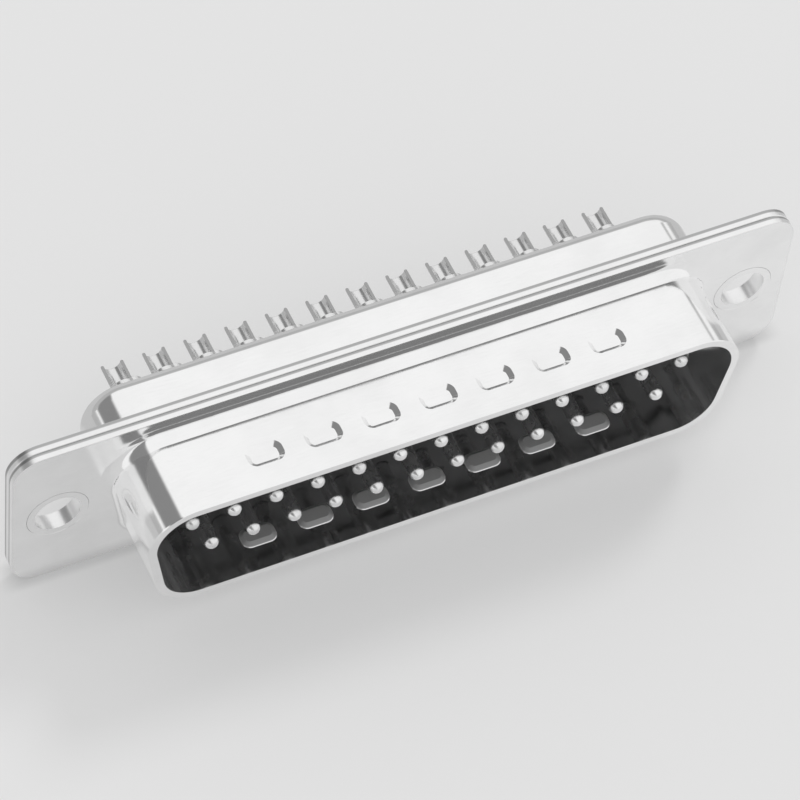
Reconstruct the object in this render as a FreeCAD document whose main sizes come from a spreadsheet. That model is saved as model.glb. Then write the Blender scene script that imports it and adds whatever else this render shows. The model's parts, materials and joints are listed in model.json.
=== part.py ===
import FreeCAD, Part
import os
import Sketcher
from FreeCAD import Placement, Rotation, Vector

# A 25 way d-sub plug with solder cups, in millimetres.
# The origin is the middle of the flange's front face. +X runs along the flange, +Z is up, on the
# side of the wide row of contacts, and the mating side looks along -Y.

# Driving dimensions: name, value, what it measures
SIZES = (
    ("flange_length", 53.04, "flange from end to end"),
    ("flange_height", 12.55, "flange from lower to upper edge"),
    ("flange_corner", 2.0, "radius of the flange's corners"),
    ("front_sheet", 0.55, "thickness of the front sheet"),
    ("rear_sheet", 0.55, "thickness of the rear sheet"),
    ("hole_margin", 3.0, "mounting hole's middle from the flange's end"),
    ("hole_diameter", 3.05, "mounting hole"),
    ("collar_wall", 0.3, "wall of the collar drawn round each mounting hole"),
    ("collar_flare", 0.2, "how far the collar's end is spread into the front sheet"),
    ("collar_gap", 0.02, "clearance of the collars in the front sheet"),
    ("joint_break", 0.07, "broken edges of the flange where the two sheets meet"),
    ("skirt_end_margin", 4.04, "inside of the skirt from the mounting hole's middle"),
    ("skirt_side_margin", 2.095, "inside of the skirt from the flange's long edge"),
    ("skirt_corner", 2.6, "inside radius of the skirt's corners"),
    ("skirt_depth", 5.84, "skirt in front of the flange"),
    ("side_angle", 10, "slope of the short sides, in degrees"),
    ("front_bend", 0.8, "outside radius of the bend between flange and skirt"),
    ("rim_break", 0.06, "broken edge of the skirt's rim, outside"),
    ("dimple_count", 7, "dimples on each long side"),
    ("dimple_pitch", 3.85, "distance between dimples"),
    ("dimple_setback", 3.45, "dimples in front of the flange"),
    ("dimple_length", 2.4, "a dimple along the skirt"),
    ("dimple_width", 1.5, "a dimple across the skirt"),
    ("dimple_corner", 0.6, "radius of a dimple's corners"),
    ("dimple_depth", 0.25, "a dimple's depth"),
    ("dimple_slope", 52, "slope of a dimple's walls, in degrees from upright"),
    ("tray_end_margin", 2.87, "outside of the tray from the mounting hole's middle"),
    ("tray_side_margin", 0.915, "outside of the tray from the flange's long edge"),
    ("tray_corner", 2.9, "outside radius of the tray's corners"),
    ("tray_depth", 3.6, "tray behind the flange"),
    ("tray_edge", 1.4, "outside radius of the tray's rear edge"),
    ("tray_lip", 1.2, "width of the rim left round the tray's window"),
    ("rear_bend", 0.35, "outside slope of the bend between flange and tray"),
    ("face_recess", 0.1, "front moulding's face behind the flange's front face"),
    ("parting_depth", 2.0, "plane where the mouldings meet, behind the flange's front face"),
    ("boss_rise", 0.35, "rear moulding's face behind the tray"),
    ("fit_gap", 0.05, "clearance of the mouldings in the sheets"),
    ("contact_gap", 0.03, "clearance of the contacts in the mouldings"),
    ("row_end_margin", 2.86, "first contact from the inside of the skirt at its widest"),
    ("row_side_margin", 2.76, "either row of contacts from the inside of the skirt"),
    ("row_count", 13, "contacts in the wide row; the narrow row has one fewer"),
    ("pin_diameter", 1.02, "pin"),
    ("pin_reach", 4.92, "pin's tip in front of the flange"),
    ("tip_diameter", 0.5, "flat end of the pin's nose"),
    ("nose_length", 0.3, "length of the pin's nose"),
    ("barrel_diameter", 1.5, "solder cup, outside"),
    ("bore_diameter", 1.1, "solder cup, inside"),
    ("bore_depth", 2.1, "depth of the solder cup"),
    ("cup_reach", 8.3, "solder cup's end behind the flange's front face"),
    ("scoop_length", 1.9, "open part of the solder cup"),
    ("scoop_ramp", 0.6, "sloping start of the open part"),
)
# Slack for telling whether an edge follows an outline
ON_OUTLINE = 1e-4
# How far a cutting outline runs past the metal that it removes
CUT_MARGIN = 1

doc = FreeCAD.newDocument("d_sub_connector")
sheet = doc.addObject("Spreadsheet::Sheet", "Sizes")
for row, (alias, value, meaning) in enumerate(SIZES, start=1):
    sheet.set("A%d" % row, meaning)
    sheet.set("B%d" % row, str(value))
    sheet.setAlias("B%d" % row, alias)
doc.recompute()

# Lengths that follow from the driving ones, in the sheet's names
HOLE_SPACING = "(Sizes.flange_length - 2 * Sizes.hole_margin)"
SKIRT_WIDTH = "(%s - 2 * Sizes.skirt_end_margin)" % HOLE_SPACING
SKIRT_HEIGHT = "(Sizes.flange_height - 2 * Sizes.skirt_side_margin)"
TRAY_WIDTH = "(%s - 2 * Sizes.tray_end_margin)" % HOLE_SPACING
TRAY_HEIGHT = "(Sizes.flange_height - 2 * Sizes.tray_side_margin)"
CONTACT_PITCH = "((%s - 2 * Sizes.row_end_margin) / (Sizes.row_count - 1))" % SKIRT_WIDTH
ROW_SPACING = "(%s - 2 * Sizes.row_side_margin)" % SKIRT_HEIGHT
# Depths behind the flange's front face
FLANGE_BACK = "(Sizes.front_sheet + Sizes.rear_sheet)"
TRAY_BACK = "(%s + Sizes.tray_depth)" % FLANGE_BACK
TRAY_FLOOR = "(%s - Sizes.rear_sheet)" % TRAY_BACK
# The front moulding's plate lies behind the front sheet
PLATE_FRONT = "(Sizes.front_sheet + Sizes.fit_gap)"
# A slope this long on the inside of the front bend leaves the sheet as thick there as elsewhere
FRONT_INNER_SLOPE = "((2 - sqrt(2)) * (Sizes.front_bend + Sizes.front_sheet))"
# And so does this one inside the tray's rear edge
REAR_INNER_SLOPE = "((2 - sqrt(2)) * (Sizes.tray_edge - Sizes.rear_sheet))"
COLLAR_RADIUS = "(Sizes.hole_diameter / 2 + Sizes.collar_wall)"


def number(expression):
    """The value of an expression in the sheet's names."""
    return FreeCAD.Units.Quantity(sheet.evalExpression(expression)).Value


def grown(growth):
    """A width, height and radius grown by the same wall, as a function of the three."""
    return lambda width, height, radius: (
        "(%s + 2 * (%s))" % (width, growth),
        "(%s + 2 * (%s))" % (height, growth),
        "(%s + (%s))" % (radius, growth),
    )


SKIRT_INSIDE = (SKIRT_WIDTH, SKIRT_HEIGHT, "Sizes.skirt_corner")
SKIRT_OUTSIDE = grown("Sizes.front_sheet")(*SKIRT_INSIDE)
BOSS_OUTSIDE = grown("-1 * Sizes.fit_gap")(*SKIRT_INSIDE)
TRAY_OUTSIDE = (TRAY_WIDTH, TRAY_HEIGHT, "Sizes.tray_corner")
TRAY_INSIDE = grown("-1 * Sizes.rear_sheet")(*TRAY_OUTSIDE)
PLATE_OUTSIDE = grown("-1 * Sizes.fit_gap")(*TRAY_INSIDE)
WINDOW = grown("-1 * Sizes.tray_lip")(*TRAY_INSIDE)
REAR_BOSS = grown("-1 * Sizes.fit_gap")(*WINDOW)
FLANGE_OUTSIDE = ("Sizes.flange_length", "Sizes.flange_height", "Sizes.flange_corner")


def new_body(label):
    """An empty body whose label names its file."""
    body = doc.addObject("PartDesign::Body", label)
    body.Label = label
    return body


def origin_feature(body, role):
    """One of the body's own origin planes or axes."""
    return next(item for item in body.Origin.OriginFeatures if item.Role == role)


def upright_sketch(body, name, depth):
    """A sketch parallel to the flange, at a depth behind the flange's front face."""
    sketch = body.newObject("Sketcher::SketchObject", name)
    sketch.AttachmentSupport = [(origin_feature(body, "XZ_Plane"), "")]
    sketch.MapMode = "FlatFace"
    sketch.setExpression(".AttachmentOffset.Base.z", "-1 * (%s)" % depth)
    return sketch


def middle_sketch(body, name, role):
    """A sketch on one of the two origin planes that hold the body's long axis."""
    sketch = body.newObject("Sketcher::SketchObject", name)
    sketch.AttachmentSupport = [(origin_feature(body, role), "")]
    sketch.MapMode = "FlatFace"
    return sketch


def bind(sketch, constraint, name, expression):
    """Add a driving constraint and tie it to the sheet."""
    index = sketch.addConstraint(constraint)
    sketch.renameConstraint(index, name)
    sketch.setExpression("Constraints." + name, expression)


def fix_coordinate(sketch, kind, geometry, point, name, expression):
    """Hold one coordinate of a point, on whichever side of the origin it lies."""
    value = number(expression)
    if value == 0:
        axis = -2 if kind == "DistanceX" else -1
        sketch.addConstraint(Sketcher.Constraint("PointOnObject", geometry, point, axis))
    elif value > 0:
        bind(sketch, Sketcher.Constraint(kind, -1, 1, geometry, point, value), name, expression)
    else:
        flipped = "-1 * (%s)" % expression
        bind(sketch, Sketcher.Constraint(kind, geometry, point, -1, 1, -value), name, flipped)


def polygon(sketch, corners):
    """A closed outline through corners given as pairs of expressions."""
    points = [Vector(number(x), number(y), 0) for x, y in corners]
    count = len(points)
    for index in range(count):
        line = Part.LineSegment(points[index], points[(index + 1) % count])
        sketch.addGeometry(line, False)
    for index in range(count):
        following = (index + 1) % count
        sketch.addConstraint(Sketcher.Constraint("Coincident", index, 2, following, 1))
    for index, (x, y) in enumerate(corners):
        fix_coordinate(sketch, "DistanceX", index, 1, "x%d" % index, x)
        fix_coordinate(sketch, "DistanceY", index, 1, "y%d" % index, y)


def circle(sketch, x, y, diameter):
    """A circle with its middle and diameter tied to the sheet."""
    centre = Vector(number(x), number(y), 0)
    sketch.addGeometry(Part.Circle(centre, Vector(0, 0, 1), number(diameter) / 2), False)
    fix_coordinate(sketch, "DistanceX", 0, 3, "middle_x", x)
    fix_coordinate(sketch, "DistanceY", 0, 3, "middle_y", y)
    bind(sketch, Sketcher.Constraint("Diameter", 0, number(diameter)), "across", diameter)


def mirrored_point(point):
    """A sketch point on the other side of the upright axis."""
    return Vector(-point.x, point.y, 0)


def rounded_outline(sketch, width, height, radius, angle="0"):
    """A D outline: wide edge up, sides that slope inwards by an angle, and round corners.

    The width is measured over the two upper corners at their widest. Without an angle it is a
    rectangle with round corners.
    """
    upper_span = "((%s) - 2 * (%s))" % (width, radius)
    rise = "((%s) - 2 * (%s))" % (height, radius)
    lower_span = "(%s - 2 * %s * tan(%s * 1 deg))" % (upper_span, rise, angle)
    bend = number(radius)
    upper = Vector(number(upper_span) / 2, number(rise) / 2, 0)
    lower = Vector(number(lower_span) / 2, -number(rise) / 2, 0)
    up = Vector(0, bend, 0)
    outwards = Rotation(Vector(0, 0, 1), -number("%s * 1 deg" % angle)).multVec(Vector(bend, 0, 0))
    right = (upper + up, upper + outwards, lower + outwards, lower - up)
    left = tuple(mirrored_point(point) for point in right)
    edges = ((left[0], right[0]), (right[1], right[2]), (right[3], left[3]), (left[2], left[1]))
    for start, end in edges:
        sketch.addGeometry(Part.LineSegment(start, end), False)
    for centre, start, end in (
        (upper, right[0], right[1]),
        (lower, right[2], right[3]),
        (mirrored_point(lower), left[3], left[2]),
        (mirrored_point(upper), left[1], left[0]),
    ):
        middle = (start + end - centre * 2).normalize() * bend + centre
        sketch.addGeometry(Part.ArcOfCircle(start, middle, end), False)
    for line in range(4):
        arc = line + 4
        following = (line + 1) % 4
        near, far = near_end_first(sketch, arc, sketch.getPoint(line, 2))
        sketch.addConstraint(Sketcher.Constraint("Tangent", line, 2, arc, near))
        sketch.addConstraint(Sketcher.Constraint("Tangent", arc, far, following, 1))
    sketch.addConstraint(Sketcher.Constraint("Symmetric", 0, 1, 0, 2, -2))
    sketch.addConstraint(Sketcher.Constraint("Symmetric", 2, 1, 2, 2, -2))
    for arc in (5, 6, 7):
        sketch.addConstraint(Sketcher.Constraint("Equal", 4, arc))
    bind(sketch, Sketcher.Constraint("Radius", 4, bend), "corner", radius)
    fix_coordinate(sketch, "DistanceY", 0, 1, "upper_edge", "(%s) / 2" % height)
    fix_coordinate(sketch, "DistanceY", 2, 1, "lower_edge", "-1 * (%s) / 2" % height)
    fix_coordinate(sketch, "DistanceX", 4, 3, "upper_corner", "%s / 2" % upper_span)
    fix_coordinate(sketch, "DistanceX", 5, 3, "lower_corner", "%s / 2" % lower_span)


def near_end_first(sketch, arc, point):
    """Numbers of an arc's two ends, the one at a point first."""
    start = sketch.getPoint(arc, 1).distanceToPoint(point)
    end = sketch.getPoint(arc, 2).distanceToPoint(point)
    return (1, 2) if start < end else (2, 1)


def d_outline(body, name, depth, outline):
    """An upright sketch of a D outline."""
    sketch = upright_sketch(body, name, depth)
    rounded_outline(sketch, *outline, angle="Sizes.side_angle")
    return sketch


def pad(body, name, sketch, length, backwards=False):
    """Add the sketch's outline, forwards by default."""
    feature = body.newObject("PartDesign::Pad", name)
    feature.Profile = sketch
    feature.setExpression("Length", length)
    feature.Reversed = backwards
    doc.recompute()
    return feature


def pocket(body, name, sketch, length, both_ways=False):
    """Cut the sketch's outline away backwards, or to both sides, and check that it cuts."""
    before = body.Tip.Shape.Volume
    feature = body.newObject("PartDesign::Pocket", name)
    feature.Profile = sketch
    feature.setExpression("Length", length)
    if both_ways:
        feature.SideType = "Symmetric"
    doc.recompute()
    if not feature.Shape.Volume < before:
        raise RuntimeError("%s of %s cuts nothing" % (name, body.Label))
    return feature


def turn(body, kind, name, profile):
    """Turn a profile round its own upright axis, adding or cutting as the kind says."""
    feature = body.newObject(kind, name)
    feature.Profile = profile
    feature.ReferenceAxis = (profile, ["V_Axis"])
    feature.Angle = 360
    doc.recompute()
    return feature


def edges_along(feature, outline, depth):
    """Names of the solid's edges that follow a sketch's outline at a depth."""
    wire = outline.Shape.copy()
    wire.translate(Vector(0, number(depth) - outline.Placement.Base.y, 0))
    names = []
    for index, edge in enumerate(feature.Shape.Edges, start=1):
        start, end = edge.ParameterRange
        samples = [edge.valueAt(start + (end - start) * share) for share in (0, 0.5, 1)]
        if all(wire.distToShape(Part.Vertex(point))[0] < ON_OUTLINE for point in samples):
            names.append("Edge%d" % index)
    return names


def round_edges(body, name, edges, radius):
    """Round some edges of the body as it stands."""
    base = body.Tip
    feature = body.newObject("PartDesign::Fillet", name)
    feature.Base = (base, edges)
    feature.setExpression("Radius", radius)
    doc.recompute()
    return feature


def slope_edges(body, name, edges, size):
    """Break some edges of the body as it stands with a plain slope."""
    base = body.Tip
    feature = body.newObject("PartDesign::Chamfer", name)
    feature.Base = (base, edges)
    feature.setExpression("Size", size)
    doc.recompute()
    return feature


def along_x(body, name, originals, pitch, count):
    """Repeat features along X."""
    pattern = body.newObject("PartDesign::LinearPattern", name)
    pattern.Originals = originals
    pattern.Direction = (origin_feature(body, "X_Axis"), [""])
    pattern.Mode = "Spacing"
    pattern.setExpression("Offset", pitch)
    pattern.setExpression("Occurrences", count)
    body.Tip = pattern
    doc.recompute()
    return pattern


def mirror_ends(body, name, originals):
    """Repeat features at the other end of the flange."""
    mirror = body.newObject("PartDesign::Mirrored", name)
    mirror.Originals = originals
    mirror.MirrorPlane = (origin_feature(body, "YZ_Plane"), [""])
    body.Tip = mirror
    doc.recompute()
    return mirror


def row_start(count):
    """X of the first of a row of contacts that is centred on the connector."""
    return "(-1 * %s * (%s - 1) / 2)" % (CONTACT_PITCH, count)


ROWS = (("wide", "Sizes.row_count", 1), ("narrow", "(Sizes.row_count - 1)", -1))


def contact_cavities(body, depth, across_flats, length):
    """A row of eight-sided cavities, whose flats grip the round contacts, for each row."""
    flat = "(%s) / 2" % across_flats
    end = "(%s) / 2 * tan(22.5 deg)" % across_flats
    around = (("", flat, "-", end), ("", flat, "", end), ("", end, "", flat), ("-", end, "", flat))
    around += (("-", flat, "", end), ("-", flat, "-", end), ("-", end, "-", flat), ("", end, "-", flat))
    for name, count, side in ROWS:
        sketch = upright_sketch(body, "%s_row_cavity" % name, depth)
        height = "%d * %s / 2" % (side, ROW_SPACING)
        corners = [
            ("%s + %s1 * %s" % (row_start(count), x_sign, x), "%s + %s1 * %s" % (height, z_sign, z))
            for x_sign, x, z_sign, z in around
        ]
        polygon(sketch, corners)
        cavity = pocket(body, "%s_row_first" % name, sketch, length)
        along_x(body, "%s_row" % name, [cavity], CONTACT_PITCH, count)


def press_one(body, kind, name, side, level):
    """Press one flat-bottomed dimple towards the pins, from a level above or below them."""
    outline = middle_sketch(body, name + "_outline", "XY_Plane")
    first = "-1 * Sizes.dimple_pitch * (Sizes.dimple_count - 1) / 2"
    outline.setExpression(".AttachmentOffset.Base.x", first)
    outline.setExpression(".AttachmentOffset.Base.y", "-1 * Sizes.dimple_setback")
    outline.setExpression(".AttachmentOffset.Base.z", "%d * (%s)" % (side, level))
    rounded_outline(outline, "Sizes.dimple_length", "Sizes.dimple_width", "Sizes.dimple_corner")
    feature = body.newObject(kind, name)
    feature.Profile = outline
    feature.setExpression("Length", "Sizes.dimple_depth")
    feature.setExpression("TaperAngle", "-1 * Sizes.dimple_slope")
    feature.Reversed = (side > 0) == (kind == "PartDesign::Pad")
    doc.recompute()
    return feature


def press_dimples(body):
    """The row of pressed dimples on each long wall of the skirt."""
    inside = "%s / 2" % SKIRT_HEIGHT
    outside = "%s + Sizes.front_sheet" % inside
    originals = []
    for name, side in (("upper", 1), ("lower", -1)):
        bulge = press_one(body, "PartDesign::Pad", name + "_bulge", side, inside)
        hollow = press_one(body, "PartDesign::Pocket", name + "_hollow", side, outside)
        originals += [bulge, hollow]
    along_x(body, "dimples", originals, "Sizes.dimple_pitch", "Sizes.dimple_count")


def make_front_shell():
    """The front sheet: a flange with a drawn skirt."""
    body = new_body("front_shell")
    flange = upright_sketch(body, "flange_outline", "0")
    rounded_outline(flange, *FLANGE_OUTSIDE)
    pad(body, "flange", flange, "Sizes.front_sheet", backwards=True)
    joint = edges_along(body.Tip, flange, "Sizes.front_sheet")
    slope_edges(body, "joint_edge", joint, "Sizes.joint_break")
    outside = d_outline(body, "skirt_outside", "0", SKIRT_OUTSIDE)
    pad(body, "skirt", outside, "Sizes.skirt_depth")
    inside = d_outline(body, "skirt_inside", "-1 * Sizes.skirt_depth", SKIRT_INSIDE)
    pocket(body, "skirt_opening", inside, "Sizes.skirt_depth + Sizes.front_sheet")
    rim = "-1 * Sizes.skirt_depth"
    round_edges(body, "outer_bend", edges_along(body.Tip, outside, "0"), "Sizes.front_bend")
    back_edges = edges_along(body.Tip, inside, "Sizes.front_sheet")
    slope_edges(body, "inner_bend", back_edges, FRONT_INNER_SLOPE)
    slope_edges(body, "rim", edges_along(body.Tip, outside, rim), "Sizes.rim_break")
    press_dimples(body)
    radius = "(%s + Sizes.collar_gap)" % COLLAR_RADIUS
    hole = flared_round(body, "PartDesign::Groove", radius, "Sizes.front_sheet")
    mirror_ends(body, "both_holes", [hole])
    return body


def flared_round(body, kind, radius, back):
    """Turn a round at the hole on the -X side whose front end is spread like the collar's."""
    profile = middle_sketch(body, "flared_profile", "XY_Plane")
    profile.setExpression(".AttachmentOffset.Base.x", "-1 * %s / 2" % HOLE_SPACING)
    spread = "%s + Sizes.collar_flare" % radius
    corners = (("0", "0"), (spread, "0"), (radius, "Sizes.collar_flare"), (radius, back), ("0", back))
    polygon(profile, corners)
    return turn(body, kind, "flared_round", profile)


def make_rear_shell():
    """The rear sheet: a flange, collars that grip the front sheet, and a shallow tray."""
    body = new_body("rear_shell")
    flange = upright_sketch(body, "flange_outline", "Sizes.front_sheet")
    rounded_outline(flange, *FLANGE_OUTSIDE)
    pad(body, "flange", flange, "Sizes.rear_sheet", backwards=True)
    joint = edges_along(body.Tip, flange, "Sizes.front_sheet")
    slope_edges(body, "joint_edge", joint, "Sizes.joint_break")
    outside = d_outline(body, "tray_outside", "Sizes.front_sheet", TRAY_OUTSIDE)
    pad(body, "tray", outside, "%s - Sizes.front_sheet" % TRAY_BACK, backwards=True)
    round_edges(body, "tray_rim", edges_along(body.Tip, outside, TRAY_BACK), "Sizes.tray_edge")
    inside = d_outline(body, "tray_inside", "Sizes.front_sheet", TRAY_INSIDE)
    pocket(body, "tray_hollow", inside, "%s - Sizes.front_sheet" % TRAY_FLOOR)
    floor_edges = edges_along(body.Tip, inside, TRAY_FLOOR)
    slope_edges(body, "inner_rim", floor_edges, REAR_INNER_SLOPE)
    window = d_outline(body, "window_outline", "Sizes.front_sheet", WINDOW)
    pocket(body, "window", window, "%s - Sizes.front_sheet" % TRAY_BACK)
    slope_edges(body, "outer_bend", edges_along(body.Tip, outside, FLANGE_BACK), "Sizes.rear_bend")
    front_edges = edges_along(body.Tip, inside, "Sizes.front_sheet")
    slope_edges(body, "inner_bend", front_edges, "Sizes.rear_bend")
    collar = flared_round(body, "PartDesign::Revolution", COLLAR_RADIUS, FLANGE_BACK)
    hole = upright_sketch(body, "hole_outline", "0")
    circle(hole, "-1 * %s / 2" % HOLE_SPACING, "0", "Sizes.hole_diameter")
    opening = pocket(body, "hole", hole, FLANGE_BACK)
    mirror_ends(body, "both_collars", [collar, opening])
    return body


def make_front_insulator():
    """The moulding that closes the skirt's root and holds the pins."""
    body = new_body("front_insulator")
    plate = d_outline(body, "plate_outline", PLATE_FRONT, PLATE_OUTSIDE)
    pad(body, "plate", plate, "Sizes.parting_depth - %s" % PLATE_FRONT, backwards=True)
    boss = d_outline(body, "boss_outline", PLATE_FRONT, BOSS_OUTSIDE)
    pad(body, "boss", boss, "%s - Sizes.face_recess" % PLATE_FRONT)
    thickness = "Sizes.parting_depth - Sizes.face_recess"
    across_flats = "(Sizes.pin_diameter + 2 * Sizes.contact_gap)"
    contact_cavities(body, "Sizes.face_recess", across_flats, thickness)
    return body


def make_rear_insulator():
    """The moulding that fills the tray and holds the barrels of the contacts."""
    body = new_body("rear_insulator")
    block = d_outline(body, "block_outline", "Sizes.parting_depth", PLATE_OUTSIDE)
    pad(body, "block", block, "%s - Sizes.parting_depth" % TRAY_FLOOR, backwards=True)
    slope_edges(body, "block_rim", edges_along(body.Tip, block, TRAY_FLOOR), REAR_INNER_SLOPE)
    boss = d_outline(body, "boss_outline", "Sizes.parting_depth", REAR_BOSS)
    boss_back = "(%s + Sizes.boss_rise)" % TRAY_BACK
    pad(body, "boss", boss, "%s - Sizes.parting_depth" % boss_back, backwards=True)
    across_flats = "(Sizes.barrel_diameter + 2 * Sizes.contact_gap)"
    contact_cavities(body, "Sizes.parting_depth", across_flats, "%s - Sizes.parting_depth" % boss_back)
    return body


def make_contact(index, x, side):
    """One turned contact: a pin, a wider barrel and a solder cup that opens outwards."""
    body = new_body("contact_%02d" % index)
    profile = middle_sketch(body, "profile", "XY_Plane")
    pin = "Sizes.pin_diameter / 2"
    barrel = "Sizes.barrel_diameter / 2"
    bore = "Sizes.bore_diameter / 2"
    tip = "-1 * Sizes.pin_reach"
    bore_end = "Sizes.cup_reach - Sizes.bore_depth"
    corners = (
        ("0", tip),
        ("Sizes.tip_diameter / 2", tip),
        (pin, tip + " + Sizes.nose_length"),
        (pin, "Sizes.parting_depth"),
        (barrel, "Sizes.parting_depth"),
        (barrel, "Sizes.cup_reach"),
        (bore, "Sizes.cup_reach"),
        (bore, bore_end),
        ("0", bore_end),
    )
    polygon(profile, corners)
    turn(body, "PartDesign::Revolution", "turned", profile)
    open_cup(body)
    if side < 0:
        body.Placement = Placement(Vector(), Rotation(Vector(0, 1, 0), 180))
    body.setExpression(".Placement.Base.x", x)
    body.setExpression(".Placement.Base.z", "%d * %s / 2" % (side, ROW_SPACING))
    return body


def open_cup(body):
    """The outward half of the solder cup, cut away behind a sloping start."""
    outline = middle_sketch(body, "scoop_outline", "YZ_Plane")
    start = "Sizes.cup_reach - Sizes.scoop_length"
    flat = "Sizes.cup_reach - Sizes.scoop_length + Sizes.scoop_ramp"
    end = "Sizes.cup_reach + %d" % CUT_MARGIN
    above = "Sizes.barrel_diameter / 2"
    polygon(outline, ((flat, "0"), (end, "0"), (end, above), (start, above)))
    pocket(body, "scoop", outline, "2 * Sizes.barrel_diameter", both_ways=True)


def make_contacts():
    """Both rows, numbered from the -X end, the wide row first."""
    contacts = []
    for name, count, side in ROWS:
        for place in range(int(number(count))):
            x = "%s + %d * %s" % (row_start(count), place, CONTACT_PITCH)
            contacts.append(make_contact(len(contacts) + 1, x, side))
    return contacts


def check_and_export(bodies):
    """Refuse a failed feature or a broken solid, then write one file for each piece."""
    doc.recompute()
    for item in doc.Objects:
        if "Invalid" in item.State or "Error" in item.State:
            raise RuntimeError("%s failed: %s" % (item.Label, item.State))
    for body in bodies:
        if body.Shape.isNull() or not body.Shape.isValid() or len(body.Shape.Solids) != 1:
            raise RuntimeError("%s is not one valid solid" % body.Label)
    os.makedirs("parts", exist_ok=True)
    for body in bodies:
        body.Shape.exportStep("parts/%s.step" % body.Label)


shells = [make_front_shell(), make_rear_shell()]
mouldings = [make_front_insulator(), make_rear_insulator()]
check_and_export(shells + mouldings + make_contacts())
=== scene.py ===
"""The look of a 25 way d-sub plug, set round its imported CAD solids. Runs in Blender 4.5."""

import json
import logging
import math
from dataclasses import dataclass
from enum import Enum
from typing import Callable, Optional, Union

import bpy
from mathutils import Matrix, Vector

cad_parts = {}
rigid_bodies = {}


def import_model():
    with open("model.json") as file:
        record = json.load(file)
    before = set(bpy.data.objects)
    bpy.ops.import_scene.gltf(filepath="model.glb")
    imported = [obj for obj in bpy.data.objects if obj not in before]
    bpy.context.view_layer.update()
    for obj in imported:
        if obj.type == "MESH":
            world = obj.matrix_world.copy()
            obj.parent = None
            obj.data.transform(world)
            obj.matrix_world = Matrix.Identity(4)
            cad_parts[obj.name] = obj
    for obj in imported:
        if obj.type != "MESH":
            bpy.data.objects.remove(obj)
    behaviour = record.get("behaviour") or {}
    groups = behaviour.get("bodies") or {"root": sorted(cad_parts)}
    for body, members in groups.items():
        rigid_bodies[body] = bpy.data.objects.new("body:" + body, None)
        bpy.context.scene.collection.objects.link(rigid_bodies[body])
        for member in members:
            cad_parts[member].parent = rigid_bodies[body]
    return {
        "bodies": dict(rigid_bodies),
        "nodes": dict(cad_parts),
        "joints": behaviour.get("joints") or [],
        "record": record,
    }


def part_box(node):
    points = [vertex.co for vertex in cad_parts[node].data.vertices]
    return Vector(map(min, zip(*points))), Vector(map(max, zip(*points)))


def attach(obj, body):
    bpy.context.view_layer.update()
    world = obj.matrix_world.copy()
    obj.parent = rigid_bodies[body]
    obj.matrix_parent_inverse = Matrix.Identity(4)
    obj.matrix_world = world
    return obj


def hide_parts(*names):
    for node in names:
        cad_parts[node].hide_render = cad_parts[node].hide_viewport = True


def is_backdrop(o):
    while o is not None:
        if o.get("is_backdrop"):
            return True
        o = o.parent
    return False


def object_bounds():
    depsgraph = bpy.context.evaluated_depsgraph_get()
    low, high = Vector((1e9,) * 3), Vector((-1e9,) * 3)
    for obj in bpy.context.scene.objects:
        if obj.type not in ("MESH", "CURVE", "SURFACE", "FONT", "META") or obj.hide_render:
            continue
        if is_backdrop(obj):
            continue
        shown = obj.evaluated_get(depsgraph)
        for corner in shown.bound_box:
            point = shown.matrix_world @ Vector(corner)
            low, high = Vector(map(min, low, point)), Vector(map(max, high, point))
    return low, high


LOG = logging.getLogger("d_sub_connector")
MM = 0.001
# Points closer than this become one
MERGE_WITHIN = 0.001 * MM
# Least square of a direction's length, so that nothing is divided by 0
LEAST_SQUARE = 0.0001
# Counts of mirroring faces between which one turns into two
ONE_AND_TWO = (1.25, 1.75)
# The Mix node's sockets for colours
MIX_SHARE, MIX_FIRST, MIX_SECOND, MIX_RESULT = 0, 6, 7, 2

Value = Union["Wire", float, int]
Triple = tuple[float, float, float]


# Shader maths


class Wire:
    """A value inside a node tree, so that shader maths reads as plain expressions."""

    def __init__(self, tree: "Bench", socket: bpy.types.NodeSocket) -> None:
        """Keep the tree and the socket that gives the value."""
        self.tree = tree
        self.socket = socket

    def _math(self, operation: str, *values: Value) -> "Wire":
        """Add one Math node.

        Args:
            operation: the node's operation.
            values: its inputs, in order.

        Returns:
            The node's value.
        """
        inputs = dict(enumerate(values))
        return self.tree.node("ShaderNodeMath", {"operation": operation}, inputs)

    def __add__(self, other: Value) -> "Wire":
        """This value plus another."""
        return self._math("ADD", self, other)

    __radd__ = __add__

    def __sub__(self, other: Value) -> "Wire":
        """This value minus another."""
        return self._math("SUBTRACT", self, other)

    def __rsub__(self, other: Value) -> "Wire":
        """Another value minus this one."""
        return self._math("SUBTRACT", other, self)

    def __mul__(self, other: Value) -> "Wire":
        """This value times another."""
        return self._math("MULTIPLY", self, other)

    __rmul__ = __mul__

    def __truediv__(self, other: Value) -> "Wire":
        """This value divided by another."""
        return self._math("DIVIDE", self, other)

    def root(self) -> "Wire":
        """The square root of this value."""
        return self._math("POWER", self, 0.5)

    def arc_cosine(self) -> "Wire":
        """The angle whose cosine this value is, in radians."""
        return self._math("ARCCOSINE", self)

    def size(self) -> "Wire":
        """This value without its sign."""
        return self._math("ABSOLUTE", self)

    def at_most(self, other: Value) -> "Wire":
        """The smaller of this value and another."""
        return self._math("MINIMUM", self, other)

    def at_least(self, other: Value) -> "Wire":
        """The larger of this value and another."""
        return self._math("MAXIMUM", self, other)

    def between(self, first: Value, second: Value) -> "Wire":
        """The value that lies this share of the way from a first one to a second."""
        return self * (second - first) + first

    def ramp(self, start: float, end: float) -> "Wire":
        """Rise smoothly from 0 at start to 1 at end.

        Args:
            start: where the result is 0.
            end: where the result is 1.

        Returns:
            The smoothed share of the way between them.
        """
        settings = {"interpolation_type": "SMOOTHSTEP"}
        inputs = {"Value": self, "From Min": start, "From Max": end, "To Min": 0.0, "To Max": 1.0}
        return self.tree.node("ShaderNodeMapRange", settings, inputs)


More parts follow.
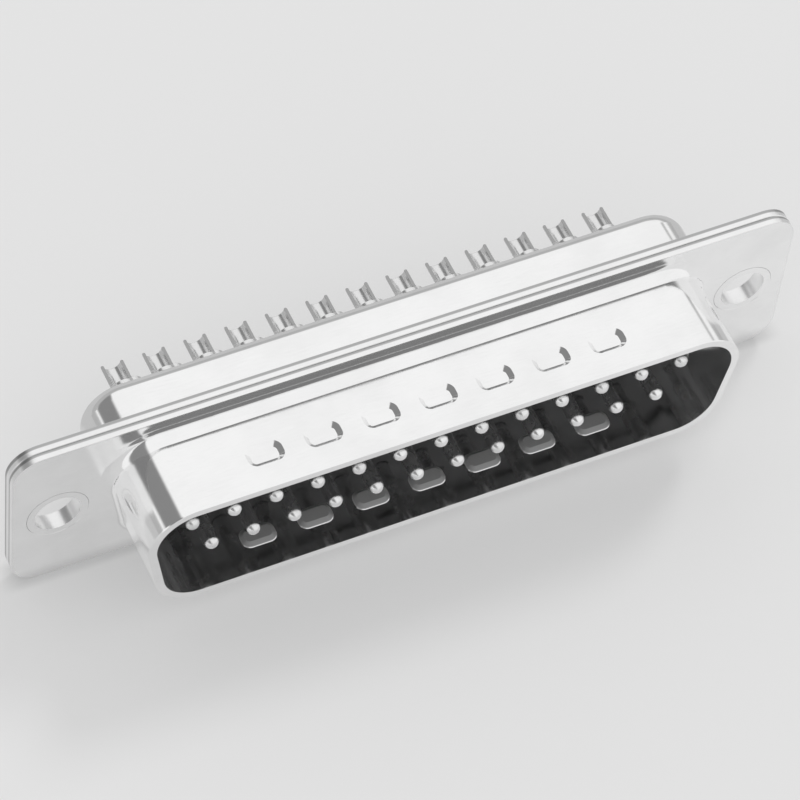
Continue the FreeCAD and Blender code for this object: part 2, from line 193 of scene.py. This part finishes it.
class Bench:
    """A node tree, with one method that adds any node."""

    def __init__(self, tree: bpy.types.NodeTree) -> None:
        """Start from an empty tree."""
        self.tree = tree
        self.tree.nodes.clear()

    def node(
        self,
        kind: str,
        settings: Optional[dict] = None,
        inputs: Optional[dict] = None,
        output: Union[int, str] = 0,
    ) -> Wire:
        """Add a node.

        Args:
            kind: the node's type.
            settings: its properties, set before its sockets.
            inputs: values or wires for its sockets, by name or number.
            output: the output that is wanted.

        Returns:
            That output, ready for more maths.
        """
        made = self.tree.nodes.new(kind)
        for key, value in (settings or {}).items():
            setattr(made, key, value)
        for key, value in (inputs or {}).items():
            self.feed(made.inputs[key], value)
        return Wire(self, made.outputs[output])

    def feed(self, socket: bpy.types.NodeSocket, value: object) -> None:
        """Link a wire to a socket, or set the socket's own value.

        Args:
            socket: the socket.
            value: the wire, number or colour.
        """
        if isinstance(value, Wire):
            self.tree.links.new(value.socket, socket)
        else:
            socket.default_value = value

    def axes(self, point: Wire) -> tuple[Wire, Wire, Wire]:
        """Take a point or a direction apart.

        Args:
            point: the point or direction.

        Returns:
            Its parts along X, Y and Z.
        """
        first = self.node("ShaderNodeSeparateXYZ", None, {0: point})
        x, y, z = (Wire(self, socket) for socket in first.socket.node.outputs)
        return x, y, z

    def ray(self, fact: str) -> Wire:
        """What the Light Path node says of the ray, by the name of its output."""
        return self.node("ShaderNodeLightPath", output=fact)

    def mirrored_twice(self) -> Wire:
        """Whether the light is seen by way of two mirroring faces or more."""
        return self.ray("Glossy Depth").ramp(*ONE_AND_TWO)


@dataclass(frozen=True)
class Grain:
    """Soft noise on a surface.

    Its scale is in cycles a metre. Detail counts its finer layers, and roughness is how strong they
    are. Stretch scales each axis, for a grain that runs one way.
    """

    scale: float
    detail: float
    roughness: float
    stretch: Optional[Triple] = None


class Recipe(Bench):
    """A material: a Principled shader and what drives it."""

    def __init__(self, name: str) -> None:
        """Start an empty material with a Principled shader.

        Args:
            name: the material's name.
        """
        self.material = bpy.data.materials.new(name)
        self.material.use_nodes = True
        super().__init__(self.material.node_tree)
        self.shader = self.tree.nodes.new("ShaderNodeBsdfPrincipled")
        self.output = self.tree.nodes.new("ShaderNodeOutputMaterial")
        self.tree.links.new(self.shader.outputs["BSDF"], self.output.inputs["Surface"])

    def principled(self, **sockets: object) -> None:
        """Set sockets of the main shader, with _ for each blank in their names."""
        for key, value in sockets.items():
            self.feed(self.shader.inputs[key.replace("_", " ")], value)

    def place(self) -> Wire:
        """The point on the object, in metres."""
        return self.node("ShaderNodeTexCoord", output="Object")

    def facing(self) -> Wire:
        """The direction in which the surface faces."""
        return self.node("ShaderNodeNewGeometry", output="Normal")

    def noise(self, point: Wire, grain: Grain) -> Wire:
        """Soft noise between about 0 and 1.

        Args:
            point: where it is read.
            grain: what it is like.

        Returns:
            The noise's value.
        """
        if grain.stretch:
            inputs = {"Vector": point, "Scale": grain.stretch}
            point = self.node("ShaderNodeMapping", {"vector_type": "POINT"}, inputs)
        inputs = {
            "Vector": point,
            "Scale": grain.scale,
            "Detail": grain.detail,
            "Roughness": grain.roughness,
        }
        return self.node("ShaderNodeTexNoise", {"noise_dimensions": "3D"}, inputs)

    def blend(self, share: Wire, first: Union[Wire, Triple], second: Union[Wire, Triple]) -> Wire:
        """Mix two colours.

        Args:
            share: 0 for the first and 1 for the second.
            first: the first colour.
            second: the second colour.

        Returns:
            The mixed colour.
        """
        start, end = (one if isinstance(one, Wire) else (*one, 1.0) for one in (first, second))
        inputs = {MIX_SHARE: share, MIX_FIRST: start, MIX_SECOND: end}
        return self.node("ShaderNodeMix", {"data_type": "RGBA"}, inputs, MIX_RESULT)

    def bump(self, height: Wire, distance: float) -> None:
        """Tilt the surface by a height, which is 1 for one distance in metres."""
        inputs = {"Height": height, "Distance": distance, "Strength": 1.0}
        self.principled(Normal=self.node("ShaderNodeBump", None, inputs))


# Finishes


@dataclass(frozen=True)
class BrightPlate:
    """Bright plating on drawn sheet steel, with faint clouding and drawing lines.

    The sheared rim of each sheet is duller, with a grey torn strip at its back, and the dimples'
    bulges inside the skirt are matt and grey. The inside of each end wall is a little pale: painted
    light, which makes it lighter than its mirroring gives. A value named pale is the share of the
    metal's gloss that a plain surface takes over.
    """

    name: str = "bright_plate"
    light: Triple = (0.9, 0.9, 0.9)
    dull: Triple = (0.84, 0.84, 0.84)
    smooth: float = 0.07
    clouded: float = 0.15
    clouds: Grain = Grain(260.0, 3.0, 0.55)
    drawn_lines: Grain = Grain(900.0, 2.0, 0.6, (1.0, 12.0, 12.0))
    clouds_in_tone: float = 0.7
    clouds_in_height: float = 0.8
    tone_start: float = 0.3
    tone_full: float = 0.72
    ripple: float = 0.002 * MM
    line: float = 0.07 * MM
    # A matt grey on the dimples' bulges inside the skirt
    bulge_grey: Triple = (0.3, 0.3, 0.3)
    bulge_pale: float = 0.9
    bulge_roughness: float = 0.55
    skirt_inside: float = 4.18 * MM
    dimples_end: float = 13.0 * MM
    end_wall_start: float = 6.0 * MM
    end_wall_full: float = 12.0 * MM
    # Painted light: a plain pale share that lightens the inside of the end walls
    end_wall_painted_light: float = 0.06
    hole_middle: float = 23.52 * MM
    hole_radius: float = 1.525 * MM
    hole_margin: float = 0.014 * MM
    hole_roughness: float = 0.28
    flange_half_length: float = 26.52 * MM
    flange_half_height: float = 6.275 * MM
    flange_corner: float = 2.0 * MM
    sheared_roughness: float = 0.3
    torn: Triple = (0.42, 0.42, 0.42)
    torn_half: float = 0.1 * MM
    torn_full: float = 0.06 * MM
    sheet_backs: tuple[float, float] = (0.55 * MM, 1.1 * MM)

    def dimples(self, x: Wire, y: Wire, z: Wire) -> Wire:
        """Tell the dimples' bulges inside the skirt.

        Args:
            x: the place along the flange.
            y: the depth behind the flange's front face.
            z: the height.

        Returns:
            1 on the bulges and 0 elsewhere.
        """
        share = z.size().ramp(self.skirt_inside, self.skirt_inside - self.line)
        share = share * x.size().ramp(self.dimples_end + self.line, self.dimples_end)
        return share * y.ramp(0.0, -self.line)

    def end_walls(self, recipe: Recipe, x: Wire, y: Wire, z: Wire) -> Wire:
        """Tell the inside of the skirt's end walls, which faces the middle and takes painted light.

        Args:
            recipe: the material.
            x: the place along the flange.
            y: the depth behind the flange's front face.
            z: the height.

        Returns:
            1 on the end walls' inside and 0 elsewhere.
        """
        facing_x, _, facing_z = recipe.axes(recipe.facing())
        outwards = facing_x * x + facing_z * z
        return outwards.ramp(-self.end_wall_start, -self.end_wall_full) * y.ramp(0.0, -self.line)

    def bores(self, x: Wire, z: Wire) -> Wire:
        """Tell the walls of the mounting holes.

        Args:
            x: the place along the flange.
            z: the height.

        Returns:
            1 in the holes and 0 elsewhere.
        """
        aside = x.size() - self.hole_middle
        from_middle = (aside * aside + z * z).root()
        return from_middle.ramp(self.hole_radius + self.line, self.hole_radius + self.hole_margin)

    def rim(self, x: Wire, z: Wire) -> Wire:
        """Tell the flange's sheared rim.

        Args:
            x: the place along the flange.
            z: the height.

        Returns:
            1 on the rim and 0 further in.
        """
        along = (x.size() - (self.flange_half_length - self.flange_corner)).at_least(0.0)
        up = (z.size() - (self.flange_half_height - self.flange_corner)).at_least(0.0)
        reach = (along * along + up * up).root()
        return reach.ramp(self.flange_corner - 2.0 * self.line, self.flange_corner - self.line)

    def torn_strips(self, y: Wire) -> Wire:
        """Tell the strips at the back of the two sheets, by the depth."""
        front, back = ((y - place + self.torn_half).size() for place in self.sheet_backs)
        return front.at_most(back).ramp(self.torn_half + self.line, self.torn_full)

    def make(self) -> bpy.types.Material:
        """Build the material.

        Returns:
            The material.
        """
        recipe = Recipe(self.name)
        point = recipe.place()
        x, y, z = recipe.axes(point)
        cloud = recipe.noise(point, self.clouds)
        lines = recipe.noise(point, self.drawn_lines)
        tone = cloud * self.clouds_in_tone + lines * (1.0 - self.clouds_in_tone)
        share = tone.ramp(self.tone_start, self.tone_full)
        dimples = self.dimples(x, y, z)
        rim = self.rim(x, z)
        roughness = share.between(self.smooth, self.clouded)
        roughness = self.bores(x, z).between(roughness, self.hole_roughness)
        roughness = rim.between(roughness, self.sheared_roughness)
        colour = recipe.blend(share, self.light, self.dull)
        colour = recipe.blend(rim * self.torn_strips(y), colour, self.torn)
        # The end walls' share is painted light, which lightens their inside
        pale = self.bulge_pale * dimples + self.end_wall_painted_light * self.end_walls(recipe, x, y, z)
        recipe.principled(
            Base_Color=recipe.blend(dimples, colour, self.bulge_grey),
            Metallic=1.0 - pale,
            Roughness=dimples.between(roughness, self.bulge_roughness),
        )
        height = cloud * self.clouds_in_height + lines * (1.0 - self.clouds_in_height)
        recipe.bump(height, self.ripple)
        return recipe.material


@dataclass(frozen=True)
class TinnedContact:
    """Tin plate on the turned contacts: a little duller, with fine turning rings.

    The cups are a shade duller still, and the faces where they are cut open are grey.
    """

    name: str = "tinned_contact"
    light: Triple = (0.84, 0.84, 0.84)
    dull: Triple = (0.74, 0.74, 0.74)
    smooth: float = 0.2
    clouded: float = 0.3
    clouds: Grain = Grain(900.0, 3.0, 0.6)
    tone_start: float = 0.32
    tone_full: float = 0.7
    rings: Grain = Grain(1.0 / (0.12 * MM), 1.0, 0.5, (0.05, 1.0, 0.05))
    ripple: float = 0.0004 * MM
    soldered: Triple = (0.76, 0.76, 0.76)
    cup_start: float = 5.0 * MM
    cup_full: float = 6.0 * MM
    cut: Triple = (0.36, 0.36, 0.36)
    cut_start: float = 6.3 * MM
    row_height: float = 1.42 * MM
    line: float = 0.02 * MM

    def make(self) -> bpy.types.Material:
        """Build the material.

        Returns:
            The material.
        """
        recipe = Recipe(self.name)
        point = recipe.place()
        _, y, z = recipe.axes(point)
        share = recipe.noise(point, self.clouds).ramp(self.tone_start, self.tone_full)
        cup = y.ramp(self.cup_start, self.cup_full)
        cut = (z.size() - self.row_height).size().ramp(2.0 * self.line, self.line)
        cut = cut * y.ramp(self.cut_start, self.cut_start + self.line)
        colour = recipe.blend(cup, recipe.blend(share, self.light, self.dull), self.soldered)
        recipe.principled(
            Base_Color=recipe.blend(cut, colour, self.cut),
            Metallic=1.0,
            Roughness=share.between(self.smooth, self.clouded),
        )
        recipe.bump(recipe.noise(point, self.rings), self.ripple)
        return recipe.material


@dataclass(frozen=True)
class BlackMoulding:
    """Black glass-filled plastic with a fine satin grain."""

    name: str = "black_moulding"
    dark: Triple = (0.036, 0.036, 0.037)
    pale: Triple = (0.085, 0.085, 0.086)
    satin: float = 0.42
    dull: float = 0.6
    clouds: Grain = Grain(500.0, 3.0, 0.5)
    tone_start: float = 0.3
    tone_full: float = 0.7
    fibres: Grain = Grain(6500.0, 2.0, 0.6)
    fibre_height: float = 0.006 * MM

    def make(self) -> bpy.types.Material:
        """Build the material.

        Returns:
            The material.
        """
        recipe = Recipe(self.name)
        point = recipe.place()
        share = recipe.noise(point, self.clouds).ramp(self.tone_start, self.tone_full)
        recipe.principled(
            Base_Color=recipe.blend(share, self.dark, self.pale),
            Roughness=share.between(self.satin, self.dull),
        )
        recipe.bump(recipe.noise(point, self.fibres), self.fibre_height)
        return recipe.material


class Finish(Enum):
    """The finishes that the pieces take."""

    SHELL = BrightPlate()
    CONTACT = TinnedContact()
    MOULDING = BlackMoulding()


class Wardrobe:
    """Makes each finish once and hands it out."""

    def __init__(self) -> None:
        """Start with nothing made."""
        self.made: dict[Finish, bpy.types.Material] = {}

    def material(self, finish: Finish) -> bpy.types.Material:
        """Hand out a finish, and make it when it is first asked for.

        Args:
            finish: the finish.

        Returns:
            Its material.
        """
        if finish not in self.made:
            self.made[finish] = finish.value.make()
        return self.made[finish]

    def dress(self, piece: bpy.types.Object, finish: Finish) -> None:
        """Put a finish on every slot of a piece, and leave its mesh alone.

        Args:
            piece: the piece.
            finish: the finish.
        """
        if not piece.material_slots:
            piece.data.materials.append(None)
        for slot in piece.material_slots:
            slot.link = "OBJECT"
            slot.material = self.material(finish)


# Modelling by hand


def alone(piece: bpy.types.Object) -> None:
    """Select one piece alone and make it active.

    Args:
        piece: the piece.
    """
    bpy.ops.object.select_all(action="DESELECT")
    piece.select_set(True)
    bpy.context.view_layer.objects.active = piece


def turned(name: str, profile: list[tuple[float, float]], steps: int) -> bpy.types.Object:
    """Spin an open profile round the Y axis.

    Args:
        name: the piece's name.
        profile: the radius and the place along Y of each point; both ends lie on the axis.
        steps: facets round the axis.

    Returns:
        The piece, with its origin at the world's.
    """
    bpy.ops.object.select_all(action="DESELECT")
    bpy.ops.mesh.primitive_plane_add(size=MM, enter_editmode=True)
    piece = bpy.context.object
    piece.name = name
    bpy.ops.mesh.select_mode(type="VERT")
    bpy.ops.mesh.merge(type="CENTER")
    bpy.ops.transform.translate(value=(*profile[0], 0.0))
    for start, end in zip(profile, profile[1:]):
        step = (end[0] - start[0], end[1] - start[1], 0.0)
        bpy.ops.mesh.extrude_vertices_move(TRANSFORM_OT_translate={"value": step})
    bpy.ops.mesh.select_all(action="SELECT")
    bpy.ops.mesh.spin(steps=steps, angle=2.0 * math.pi, center=(0.0, 0.0, 0.0), axis=(0.0, 1.0, 0.0))
    bpy.ops.mesh.select_all(action="SELECT")
    bpy.ops.mesh.remove_doubles(threshold=MERGE_WITHIN)
    bpy.ops.mesh.normals_make_consistent(inside=False)
    bpy.ops.object.mode_set(mode="OBJECT")
    return piece


def pick_edges(piece: bpy.types.Object, wanted: Callable[[Vector], bool]) -> None:
    """Select the edges whose middle passes a test, and go to edit mode.

    Args:
        piece: the piece.
        wanted: says whether an edge with that middle is wanted.
    """
    alone(piece)
    bpy.ops.object.mode_set(mode="EDIT")
    bpy.ops.mesh.select_mode(type="EDGE")
    bpy.ops.mesh.select_all(action="DESELECT")
    bpy.ops.object.mode_set(mode="OBJECT")
    points = piece.data.vertices
    for edge in piece.data.edges:
        first, last = (points[index].co for index in edge.vertices)
        edge.select = wanted((first + last) / 2.0)
    bpy.ops.object.mode_set(mode="EDIT")


# Pieces


@dataclass
class DressedSolids:
    """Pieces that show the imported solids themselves, in one finish."""

    nodes: tuple[str, ...]
    finish: Finish

    def build(self, frame: dict, wardrobe: Wardrobe) -> None:
        """Dress the pieces.

        Args:
            wardrobe: the finishes.
        """
        for name in self.nodes:
            wardrobe.dress(frame["nodes"][name], self.finish)
            LOG.info("dressed %s", name)


@dataclass
class Shells(DressedSolids):
    """The two plated sheets."""

    nodes: tuple[str, ...] = ("front_shell", "rear_shell")
    finish: Finish = Finish.SHELL


@dataclass
class Mouldings(DressedSolids):
    """The two black mouldings."""

    nodes: tuple[str, ...] = ("front_insulator", "rear_insulator")
    finish: Finish = Finish.MOULDING


@dataclass
class Contacts:
    """Both rows of turned contacts: a round-nosed pin, a barrel and an open solder cup."""

    prefix: str = "contact_"
    pin_radius: float = 0.51 * MM
    pin_tip: float = -4.92 * MM
    shoulder: float = 2.0 * MM
    barrel_radius: float = 0.75 * MM
    cup_end: float = 8.3 * MM
    bore_radius: float = 0.55 * MM
    bore_end: float = 6.2 * MM
    drill_point: float = 0.2 * MM
    scoop_start: float = 6.4 * MM
    scoop_corner: float = 0.6 * MM
    corner_segments: int = 8
    edge_break: float = 0.05 * MM
    nose_points: int = 8
    steps: int = 40
    smooth_angle: float = 40.0

    def profile(self) -> list[tuple[float, float]]:
        """Work out half the contact's outline.

        Returns:
            The radius and the place along Y of each point, from the pin's tip to the bottom of the
            bore.
        """
        points = [(0.0, self.pin_tip)]
        for index in range(1, self.nose_points + 1):
            angle = math.pi / 2.0 * index / self.nose_points
            along = self.pin_tip + self.pin_radius * (1.0 - math.cos(angle))
            points.append((self.pin_radius * math.sin(angle), along))
        points += [
            (self.pin_radius, self.shoulder),
            (self.barrel_radius - self.edge_break, self.shoulder),
            (self.barrel_radius, self.shoulder + self.edge_break),
            (self.barrel_radius, self.cup_end - self.edge_break),
            (self.barrel_radius - self.edge_break, self.cup_end),
            (self.bore_radius + self.edge_break, self.cup_end),
            (self.bore_radius, self.cup_end - self.edge_break),
            (self.bore_radius, self.bore_end),
            (0.0, self.bore_end - self.drill_point),
        ]
        return points

    def cutter(self) -> bpy.types.Object:
        """Make the block that opens the cup outwards.

        Returns:
            The block, with one round corner.
        """
        length = 2.0 * (self.cup_end - self.scoop_start)
        height = 2.0 * self.barrel_radius
        bpy.ops.object.select_all(action="DESELECT")
        bpy.ops.mesh.primitive_cube_add(size=1.0, enter_editmode=True)
        block = bpy.context.object
        bpy.ops.transform.resize(value=(4.0 * self.barrel_radius, length, height))
        bpy.ops.transform.translate(value=(0.0, self.scoop_start + length / 2.0, height / 2.0))
        bpy.ops.object.mode_set(mode="OBJECT")
        start = self.scoop_start + self.edge_break
        pick_edges(block, lambda middle: middle.y < start and middle.z < self.edge_break)
        bpy.ops.mesh.bevel(offset=self.scoop_corner, segments=self.corner_segments)
        bpy.ops.object.mode_set(mode="OBJECT")
        return block

    def model(self) -> bpy.types.Object:
        """Model one contact along the Y axis.

        Returns:
            The contact, its cup open upwards.
        """
        contact = turned("turned_contact", self.profile(), self.steps)
        block = self.cutter()
        alone(contact)
        bpy.ops.object.modifier_add(type="BOOLEAN")
        modifier = contact.modifiers[-1]
        modifier.operation = "DIFFERENCE"
        modifier.solver = "EXACT"
        modifier.object = block
        bpy.ops.object.modifier_apply(modifier=modifier.name)
        bpy.data.objects.remove(block, do_unlink=True)
        bpy.ops.object.shade_smooth_by_angle(angle=math.radians(self.smooth_angle))
        return contact

    def build(self, frame: dict, wardrobe: Wardrobe) -> None:
        """Model one contact, and put a copy in the place of each CAD one.

        Args:
            wardrobe: the finishes.
        """
        pattern = self.model()
        names = sorted(name for name in frame["nodes"] if name.startswith(self.prefix))
        for name in names:
            low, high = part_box(name)
            middle = (low + high) / 2.0
            alone(pattern)
            bpy.ops.object.duplicate()
            copy = bpy.context.object
            copy.name = "turned_" + name
            copy.location = (middle.x, 0.0, middle.z)
            copy.rotation_euler.y = 0.0 if middle.z > 0.0 else math.pi
            bpy.ops.object.transform_apply(location=True, rotation=True, scale=False)
            wardrobe.dress(copy, Finish.CONTACT)
            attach(copy, "root")
            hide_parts(name)
            LOG.info("turned %s", name)
        bpy.data.objects.remove(pattern, do_unlink=True)


# Camera, floor and light


@dataclass
class Viewpoint:
    """The camera, at the photograph's angle and distance."""

    place: Triple = (-0.08129245, -0.13652166, 0.22057167)
    right: Triple = (0.9071745, -0.4138926, 0.0756790)
    down: Triple = (-0.2979501, -0.7589222, -0.5790189)
    lens: float = 196.2152
    sensor: float = 36.0
    nearest: float = 0.01
    farthest: float = 10.0

    def build(self) -> None:
        """Make the camera and use it."""
        data = bpy.data.cameras.new("photo_view")
        data.sensor_width = self.sensor
        data.lens = self.lens
        data.clip_start = self.nearest
        data.clip_end = self.farthest
        camera = bpy.data.objects.new("photo_view", data)
        bpy.context.scene.collection.objects.link(camera)
        right = Vector(self.right).normalized()
        up = -Vector(self.down).normalized()
        turn = Matrix((right, up, right.cross(up))).transposed()
        camera.matrix_world = Matrix.Translation(self.place) @ turn.to_4x4()
        bpy.context.scene.camera = camera
        LOG.info("camera at %s", self.place)


@dataclass
class Floor:
    """The plain pale floor under the flange's lower edge, with a faint shadow of the object.

    It is a little darker round the flange's foot. The plating mirrors it brighter at the right than
    at the left, darker behind the part, and white where it is mirrored twice.
    """

    size: float = 3.0
    gap: float = 0.02 * MM
    colour: float = 0.8
    roughness: float = 0.9
    level: float = 0.776
    level_left: float = 0.7
    level_right: float = 0.86
    level_behind: float = 0.5
    level_twice: float = 1.0
    sides: float = 25.0 * MM
    behind_start: float = 8.0 * MM
    behind_full: float = 14.0 * MM
    foot_middle: float = 0.55 * MM
    foot_start: float = 0.6 * MM
    foot_reach: float = 1.35 * MM
    foot_full: float = 25.5 * MM
    foot_end: float = 27.5 * MM
    foot_shade: float = 0.18
    plain_to_camera: float = 0.35
    plain_to_plating: float = 0.7

    def shade(self, x: Wire, y: Wire) -> Wire:
        """Work out the shade round the flange's foot.

        Args:
            x: the place along the flange.
            y: the depth behind the flange's front face.

        Returns:
            The share of the level that is left.
        """
        foot = (y - self.foot_middle).size().ramp(self.foot_reach, self.foot_start)
        foot = foot * x.size().ramp(self.foot_end, self.foot_full)
        return 1.0 - self.foot_shade * foot

    def mirrored(self, recipe: Recipe, x: Wire, y: Wire) -> Wire:
        """Work out the level that the plating mirrors.

        Args:
            recipe: the material.
            x: the place along the flange.
            y: the depth behind the flange's front face.

        Returns:
            The level, before the foot's shade.
        """
        level = x.ramp(-self.sides, self.sides).between(self.level_left, self.level_right)
        level = y.ramp(self.behind_start, self.behind_full).between(level, self.level_behind)
        return recipe.mirrored_twice().between(level, self.level_twice)

    def make(self) -> bpy.types.Material:
        """Build the material: part of it takes the light, and the rest keeps a plain level.

        Returns:
            The material.
        """
        recipe = Recipe("pale_floor")
        seen = recipe.ray("Is Camera Ray")
        glossy = recipe.ray("Is Glossy Ray")
        x, y, _ = recipe.axes(recipe.place())
        shade = self.shade(x, y)
        recipe.principled(
            Base_Color=shade * self.colour,
            Roughness=self.roughness,
            Specular_IOR_Level=0.0,
        )
        level = glossy.between(self.level, self.mirrored(recipe, x, y)) * shade
        plain = recipe.node("ShaderNodeEmission", None, {"Color": level})
        share = seen * self.plain_to_camera + glossy * self.plain_to_plating
        lit = Wire(recipe, recipe.shader.outputs["BSDF"])
        mixed = recipe.node("ShaderNodeMixShader", None, {0: share, 1: lit, 2: plain})
        recipe.feed(recipe.output.inputs["Surface"], mixed)
        return recipe.material

    def build(self, lowest: float) -> None:
        """Lay the floor.

        Args:
            lowest: height of the object's lowest point.
        """
        bpy.ops.mesh.primitive_plane_add(size=self.size, location=(0.0, 0.0, lowest - self.gap))
        floor = bpy.context.object
        floor.name = "floor"
        floor.data.materials.append(self.make())
        floor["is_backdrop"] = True
        LOG.info("floor at %.5f m", lowest)


@dataclass(frozen=True)
class Lamp:
    """One soft area lamp that the plating doesn't mirror."""

    name: str
    towards: Triple
    distance: float
    size: float
    watts: float

    def build(self) -> None:
        """Hang the lamp, facing the object."""
        data = bpy.data.lights.new(self.name, "AREA")
        data.shape = "DISK"
        data.size = self.size
        data.energy = self.watts
        lamp = bpy.data.objects.new(self.name, data)
        bpy.context.scene.collection.objects.link(lamp)
        direction = Vector(self.towards).normalized()
        lamp.location = direction * self.distance
        lamp.rotation_mode = "QUATERNION"
        lamp.rotation_quaternion = direction.to_track_quat("Z", "Y")
        lamp.visible_glossy = False
        LOG.info("lamp %s", self.name)


class Across(Enum):
    """The axes of the view in which a bar looks narrow; a spot is narrow in all three."""

    END_VIEW = (1, 2)
    FRONT_VIEW = (0, 2)
    ANY = (0, 1, 2)


@dataclass(frozen=True)
class Bar:
    """A soft-edged dark bar or spot of the surroundings that the plating mirrors.

    It has its full strength up to the inner angle from its middle, in degrees, and none past the
    outer one. Twice keeps it to light that comes by way of two mirroring faces.
    """

    across: Across
    towards: Triple
    inner: float
    outer: float
    level: float
    twice: bool = False

    def lay(self, bench: Bench, direction: tuple[Wire, Wire, Wire], below: Value) -> Wire:
        """Lay the bar over what is there already.

        Args:
            bench: the world's node tree.
            direction: the direction looked in.
            below: the level of the surroundings so far.

        Returns:
            The level with the bar.
        """
        axes = self.across.value
        middle = Vector([self.towards[axis] for axis in axes]).normalized()
        square = sum(direction[axis] * direction[axis] for axis in axes)
        aligned = sum(direction[axis] * middle[place] for place, axis in enumerate(axes))
        turn_away = (aligned / square.at_least(LEAST_SQUARE).root()).arc_cosine()
        share = turn_away.ramp(math.radians(self.outer), math.radians(self.inner))
        if self.twice:
            share = share * bench.mirrored_twice()
        return share.between(below, self.level)


@dataclass
class Studio:
    """A soft studio: bright all round, with a few dark patches for the plating to mirror.

    In order, the bars show in the skirt's rounded left end, in the strip over the skirt, in the
    edges that face back, and in the skirt's right corner.
    """

    backdrop: float = 0.776
    ambient: float = 0.8
    open_level: float = 1.0
    bars: tuple[Bar, ...] = (
        Bar(Across.FRONT_VIEW, (-0.72, 0.0, 0.69), inner=18.0, outer=26.0, level=0.26),
        Bar(Across.ANY, (0.3, -0.755, 0.592), inner=23.0, outer=31.0, level=0.24, twice=True),
        Bar(Across.END_VIEW, (0.0, 0.98, 0.17), inner=9.0, outer=18.0, level=0.48),
        Bar(Across.ANY, (0.75, 0.5, 0.43), inner=1.5, outer=4.5, level=0.45),
    )
    lamps: tuple[Lamp, ...] = (
        Lamp("key", (0.62, 0.42, 0.66), distance=2.0, size=0.5, watts=10.0),
    )

    def build(self) -> None:
        """Make the world and the lamps."""
        world = bpy.data.worlds.new("studio")
        world.use_nodes = True
        bpy.context.scene.world = world
        bench = Bench(world.node_tree)
        direction = bench.axes(bench.node("ShaderNodeTexCoord", output="Generated"))
        mirrored = self.open_level
        for bar in self.bars:
            mirrored = bar.lay(bench, direction, mirrored)
        light = bench.ray("Is Glossy Ray").between(self.ambient, mirrored)
        level = bench.ray("Is Camera Ray").between(light, self.backdrop)
        white = (1.0, 1.0, 1.0, 1.0)
        background = bench.node("ShaderNodeBackground", None, {"Color": white, "Strength": level})
        output = bench.tree.nodes.new("ShaderNodeOutputWorld")
        bench.feed(output.inputs["Surface"], background)
        for lamp in self.lamps:
            lamp.build()
        LOG.info("studio with %d lamps", len(self.lamps))


# The whole scene


def main() -> None:
    """Build the scene in order."""
    logging.basicConfig(level=logging.INFO, format="%(name)s: %(message)s")
    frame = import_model()
    bpy.ops.object.select_all(action="DESELECT")
    cad_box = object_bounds()
    bpy.context.scene.view_settings.view_transform = "Standard"
    wardrobe = Wardrobe()
    for assembly in (Shells(), Mouldings(), Contacts()):
        assembly.build(frame, wardrobe)
    Floor().build(cad_box[0].z)
    Studio().build()
    Viewpoint().build()


if __name__ == "__main__":
    main()
